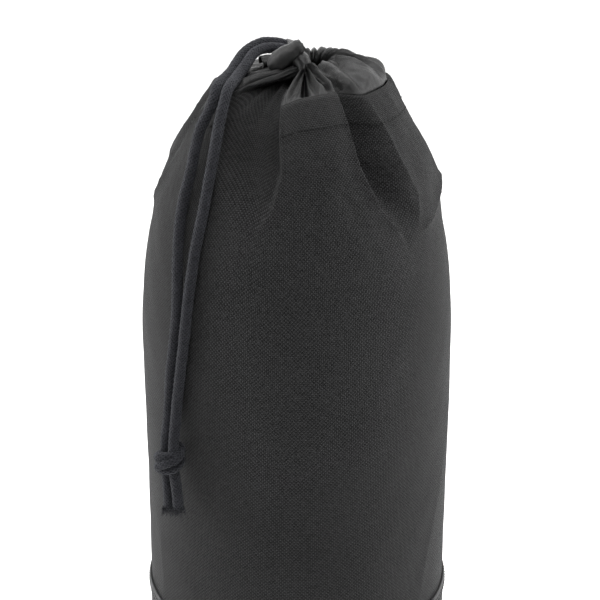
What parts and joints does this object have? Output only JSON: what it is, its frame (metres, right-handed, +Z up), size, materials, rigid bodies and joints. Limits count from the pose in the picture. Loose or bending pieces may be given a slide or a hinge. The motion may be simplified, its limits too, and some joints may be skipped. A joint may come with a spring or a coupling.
{
  "type": "rope storage bag",
  "caption": "Round drawstring bag that stands up and stores rope, with a reinforced boot, slick gathered collar, knotted cord and webbing loops.",
  "frame": {"origin": "centre of the round base, on the surface that the bag stands on", "axes": "+Z up through the gathered mouth, the front faces -Y, the back seam and the haul loop are on +Y, the knotted drawcord hangs on the -X side"},
  "size_m": [0.2132, 0.2283, 0.501],
  "materials": {
    "ballistic_weave": "matt black plain weave of thick shiny yarns",
    "boot_weave": "matt black ribbed coated weave",
    "coated_base": "black coated weave",
    "binding_tape": "black ribbed tape",
    "inner_lining": "black coated lining",
    "stiffener_board": "plain board",
    "webbing": "black ribbed webbing",
    "sewing_thread": "black twisted thread",
    "slick_nylon": "thin glossy black nylon",
    "drawcord": "soft fuzzy bluish black braid"
  },
  "bodies": {
    "bag": {"base_panel": "coated_base", "base_piping": "binding_tape", "base_stiffener": "stiffener_board", "base_lining": "inner_lining", "tie_in_anchor": "webbing", "body": "ballistic_weave", "shoulder": "ballistic_weave", "gathers": "ballistic_weave", "back_seam": "binding_tape", "seam_stitching": "sewing_thread", "boot": "boot_weave", "boot_binding": "binding_tape", "boot_stitching": "sewing_thread", "hem_facing": "ballistic_weave", "hem_stitching": "sewing_thread", "collar": "slick_nylon", "drawcord_channel": "slick_nylon", "channel_flap": "slick_nylon", "channel_mouth": "slick_nylon", "channel_cord": "drawcord", "haul_tab": "webbing", "haul_stitching": "sewing_thread"},
    "tie_in": {"tie_in_loop": "webbing"},
    "drawcord": {"arch_strands": "drawcord"},
    "cord_drop": {"hanging_strands": "drawcord", "drawcord_knot": "drawcord", "cord_tails": "drawcord"},
    "haul": {"haul_loop": "webbing"}
  },
  "joints": [
    {"name": "drawcord_pull", "type": "slide", "parent": "bag", "child": "drawcord", "axis": [-0.947, -0.1331, 0.2924], "range_m": [0, 0.012]},
    {"name": "drawcord_swing", "type": "hinge", "parent": "drawcord", "child": "cord_drop", "pos_m": [-0.0383, -0.0172, 0.479], "axis": [-0.5895, 0.8078, 0], "range_deg": [0, 75]},
    {"name": "haul_loop_lift", "type": "hinge", "parent": "bag", "child": "haul", "pos_m": [0, 0.1011, 0.372], "axis": [1, 0, 0], "range_deg": [0, 120]},
    {"name": "tie_in_loop_lift", "type": "hinge", "parent": "bag", "child": "tie_in", "pos_m": [0, 0.014, 0.0099], "axis": [-1, 0, 0], "range_deg": [0, 90]}
  ]
}
